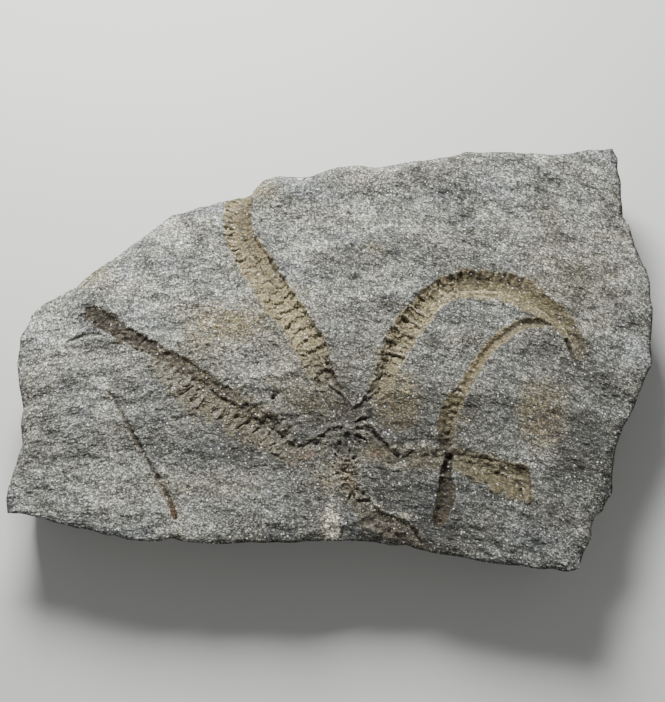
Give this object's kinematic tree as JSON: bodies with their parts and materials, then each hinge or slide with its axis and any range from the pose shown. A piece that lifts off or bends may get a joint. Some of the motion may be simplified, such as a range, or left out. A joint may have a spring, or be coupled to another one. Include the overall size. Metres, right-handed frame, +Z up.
{
  "type": "brittle star fossil",
  "caption": "Broken slab of fine grey sandstone with the natural mould of a brittle star: hollows where its arms lay, with plate, rib and bead marks. Lies flat on its cleaved back.",
  "frame": {"origin": "middle of the slab's footprint box, on the flat cleaved back that it rests on", "axes": "+X along the slab's long side, +Y from its front edge to its back edge, +Z up out of the fossil's face"},
  "size_m": [0.1604, 0.1114, 0.0233],
  "materials": {
    "sandstone": "dry, matt, freshly broken fine-grained stone, with tan and brown iron staining in the hollows"
  },
  "bodies": {
    "root": {"fossil_slab": "sandstone"}
  },
  "joints": []
}
